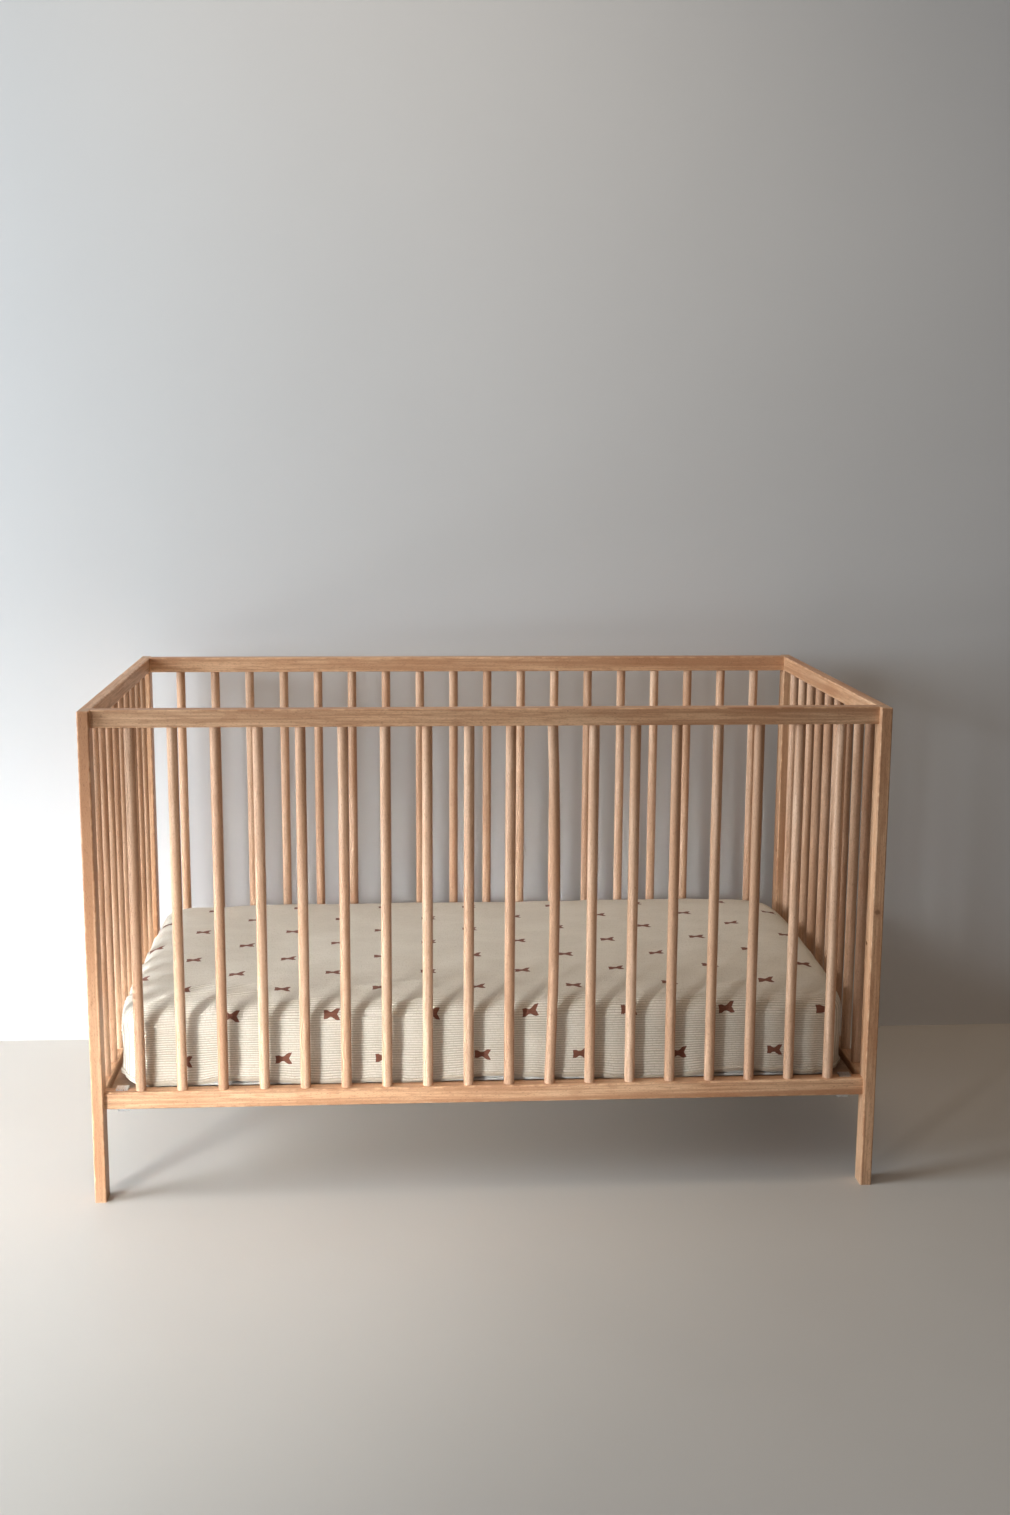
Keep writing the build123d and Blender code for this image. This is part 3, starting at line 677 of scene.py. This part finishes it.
# The elastic gathers the cloth into short upright pleats, deeper towards the hem and at the corners.
to_corner = np.hypot(half_x - 0.03 - abs(cloth[:, 0]), half_y - 0.03 - abs(cloth[:, 1]))
corner = np.clip(1.6 - to_corner / 0.07, 0, 1)
ring_points = np.stack([cloth[:, 0], cloth[:, 1], np.zeros(len(cloth))], 1)
pleats = waves(ring_points, 12, wavelength=0.024, spread=0.35, seed=21)
gathers = waves(ring_points, 12, wavelength=0.020, spread=0.3, seed=22)
push += 0.0015 * (1 + pleats) * depth**5 + 0.0022 * (1 + gathers) * corner * depth**1.5
long_sag = waves(ring_points, 10, wavelength=0.32, spread=0.5, seed=31)
short_sag = waves(ring_points, 8, wavelength=0.05, spread=0.4, seed=32)
sag = 0.0062 * long_sag + 0.0012 * short_sag
cloth += facing * push[:, None]
cloth[:, 2] += sag * depth**3
write(sheet.data, cloth)


def rim(mesh):
    """The points round a mesh's open edge, in order."""
    uses = {}
    for face in mesh.polygons:
        for edge in face.edge_keys:
            uses[edge] = uses.get(edge, 0) + 1
    nearby = {}
    for (a, b), count in uses.items():
        if count == 1:
            nearby.setdefault(a, []).append(b)
            nearby.setdefault(b, []).append(a)
    first = min(nearby)
    loop, last, here = [first], None, first
    while True:
        following = [v for v in nearby[here] if v != last][0]
        if following == first:
            return loop
        loop.append(following)
        last, here = here, following


def lengths_along(closed):
    """The length along a closed line at each of its points, and last the whole way round."""
    return np.concatenate([[0], np.cumsum(np.linalg.norm(np.roll(closed, -1, 0) - closed, axis=1))])


def sweep(name, path, outward, section):
    """A closed tube round path, with its faces wound outward.

    section is [(outward, up)] offsets. UV is (length along the path, length over the section).
    """
    count, ring = len(path), len(section)
    up = np.array((0, 0, 1.0))
    points = path[:, None, :] + outward[:, None, :] * section[None, :, :1] + up * section[None, :, 1:]
    lengths, around_section = lengths_along(path), lengths_along(section)
    faces, uv = [], []
    for i in range(count):
        j = (i + 1) % count
        for k in range(ring):
            m = (k + 1) % ring
            faces.append([i * ring + k, j * ring + k, j * ring + m, i * ring + m])
            for a, b in ((i, k), (i + 1, k), (i + 1, k + 1), (i, k + 1)):
                uv.append((lengths[a], around_section[b]))
    return new_piece(name, points.reshape(-1, 3), faces, uv)


def ring_out(path):
    """Unit outward directions, level, of a closed path round the origin."""
    ahead = np.roll(path, -3, 0) - np.roll(path, 3, 0)
    out = np.stack([ahead[:, 1], -ahead[:, 0], np.zeros(len(path))], 1)
    out /= np.linalg.norm(out, axis=1)[:, None]
    turn = np.sign((out[:, :2] * path[:, :2]).sum(1).mean())
    return out * turn, turn


edge_points = read(sheet.data)[rim(sheet.data)]
outward, turn = ring_out(edge_points)
if turn < 0:
    edge_points, outward = edge_points[::-1], outward[::-1]
ANGLES = np.linspace(0, math.tau, 14, endpoint=False)
rise = np.sign(np.sin(ANGLES)) * abs(np.sin(ANGLES)) ** 0.8
hem_section = np.stack([HEM_HALF_THICKNESS * np.cos(ANGLES), HEM_HALF_HEIGHT * rise], 1)
crimp = 0.0004 + 0.0009 * waves(edge_points, 14, wavelength=0.015, spread=0.35, seed=41)
hem_path = edge_points + outward * crimp[:, None]
hem_path[:, 2] += HEM_RAISE
hem = sweep("sheet_hem", hem_path, outward, hem_section)

# The mattress's own piping shows below the hem.
ring_ids = [i for i in range(len(unit)) if level[i] == 1 and (unit[i, 0] in (0, 1) or unit[i, 1] in (0, 1))]
ring_ids.sort(key=lambda i: math.atan2(shape[i, 1] / half_y, shape[i, 0] / half_x))
pipe_path = shape[ring_ids]
outward, turn = ring_out(pipe_path)
pipe_path = pipe_path + outward * 0.0004
pipe_path[:, 2] = low.z + PIPING_HEIGHT
pipe_section = PIPING_RADIUS * np.stack([np.cos(ANGLES), np.sin(ANGLES)], 1)
piping = sweep("mattress_piping", pipe_path, outward, pipe_section)

mattress.data.materials.append(mattress_cover())
piping.data.materials.append(mattress.data.materials[0])
sheet.data.materials.append(printed_cotton("sheet_cotton"))
hem.data.materials.append(printed_cotton("sheet_hem", stitched=True))
sheet.modifiers.new("thickness", "SOLIDIFY").thickness = CLOTH_THICKNESS
smooth = mattress.modifiers.new("smooth", "SUBSURF")
smooth.levels = smooth.render_levels = 1

for piece, stood_for, slot in (
    (mattress, "mattress", "mattress_cover"),
    (piping, None, "mattress_cover"),
    (sheet, "fitted_sheet", "sheet_cotton"),
    (hem, None, "sheet_cotton"),
):
    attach(piece, "mattress")
    if stood_for:
        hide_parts(stood_for)


# ---------------------------------------------------------------- camera, light, studio
def camera():
    data = bpy.data.cameras.new("camera")
    data.sensor_width, data.lens = 36.0, LENS
    data.clip_start, data.clip_end = 0.05, 60
    eye = bpy.data.objects.new("camera", data)
    yaw, pitch, roll = (math.radians(a) for a in (YAW, PITCH, ROLL))
    forward = Vector((math.sin(yaw) * math.cos(pitch), math.cos(yaw) * math.cos(pitch), -math.sin(pitch)))
    level = Vector((math.cos(yaw), -math.sin(yaw), 0))
    raised = level.cross(forward)
    right = level * math.cos(roll) + raised * math.sin(roll)
    up = raised * math.cos(roll) - level * math.sin(roll)
    turn = Matrix((right, up, -forward)).transposed().to_4x4()
    eye.matrix_world = Matrix.Translation(EYE) @ turn
    bpy.context.scene.collection.objects.link(eye)
    bpy.context.scene.camera = eye


LIGHTS = [
    # (name, place, target, size, watts, colour, spread in degrees)
    ("window", (-3.6, -1.2, 1.45), (0.2, 0.1, 0.8), (1.6, 1.8), 172, (0.77, 0.89, 1.0), 180),
    ("low_window", (-2.4, -3.3, 0.95), (-0.60, -0.34, 0.10), (1.1, 0.8), 2.8, (0.95, 0.98, 1.0), 21),
    ("front_fill", (-2.8, -3.3, 1.0), (-0.85, -0.34, 0.12), (1.9, 1.0), 4.4, (0.95, 0.98, 1.0), 19),
    ("floor_bounce", (-2.3, -0.5, 0.26), (0.2, -0.1, 0.0), (0.9, 0.4), 5.5, (0.97, 0.98, 1.0), 120),
    ("wall_wash", (-0.3, -0.5, 3.2), (0.15, 0.46, 0.4), (1.8, 0.8), 7, (1.0, 0.84, 0.66), 100),
]


def area_light(name, place, target, size, watts, colour, spread):
    data = bpy.data.lights.new(name, "AREA")
    data.shape, data.size, data.size_y = "RECTANGLE", size[0], size[1]
    data.energy, data.color, data.spread = watts, colour, math.radians(spread)
    lamp = bpy.data.objects.new(name, data)
    lamp.location = place
    lamp.rotation_euler = (Vector(target) - Vector(place)).to_track_quat("-Z", "Y").to_euler()
    bpy.context.scene.collection.objects.link(lamp)


def studio():
    def slab(name, corners, material):
        """A four-cornered piece of the room, which isn't part of the object."""
        mesh = bpy.data.meshes.new(name)
        mesh.from_pydata(corners, [], [(0, 1, 2, 3)])
        mesh.materials.append(material)
        piece = bpy.data.objects.new(name, mesh)
        bpy.context.scene.collection.objects.link(piece)

    reach = ROOM_REACH
    _, ground = plain("floor", (0.60, 0.56, 0.505), variation=0.95, roughness=0.5)
    slab("floor", [(-reach, -reach, 0), (reach, -reach, 0), (reach, reach, 0), (-reach, reach, 0)], ground)
    graph, paint = plain("wall", (0.62, 0.615, 0.605), variation=0.97, roughness=0.75)
    # Seen from behind the wall lets light and sight through, so the crib's back can be looked at.
    behind = graph.add("NewGeometry").outputs["Backfacing"]
    see_through = graph.add("BsdfTransparent").outputs[0]
    joined = graph.add("MixShader", {0: behind, 1: graph.shader.outputs[0], 2: see_through}).outputs[0]
    graph.tree.links.new(joined, graph.tree.nodes["Material Output"].inputs[0])
    foot = [(-reach, WALL_Y, 0), (reach, WALL_Y, 0)]
    slab("wall", foot + [(reach, WALL_Y, WALL_HEIGHT), (-reach, WALL_Y, WALL_HEIGHT)], paint)
    bpy.data.objects["wall"].visible_shadow = False
    world = bpy.data.worlds.new("world")
    world.use_nodes = True
    background = world.node_tree.nodes["Background"].inputs
    background["Color"].default_value = (1.0, 0.79, 0.66, 1)
    background["Strength"].default_value = 0.12
    bpy.context.scene.world = world
    for light in LIGHTS:
        area_light(*light)
    bpy.context.scene.view_settings.view_transform = "Standard"


camera()
studio()

bpy.context.view_layer.update()
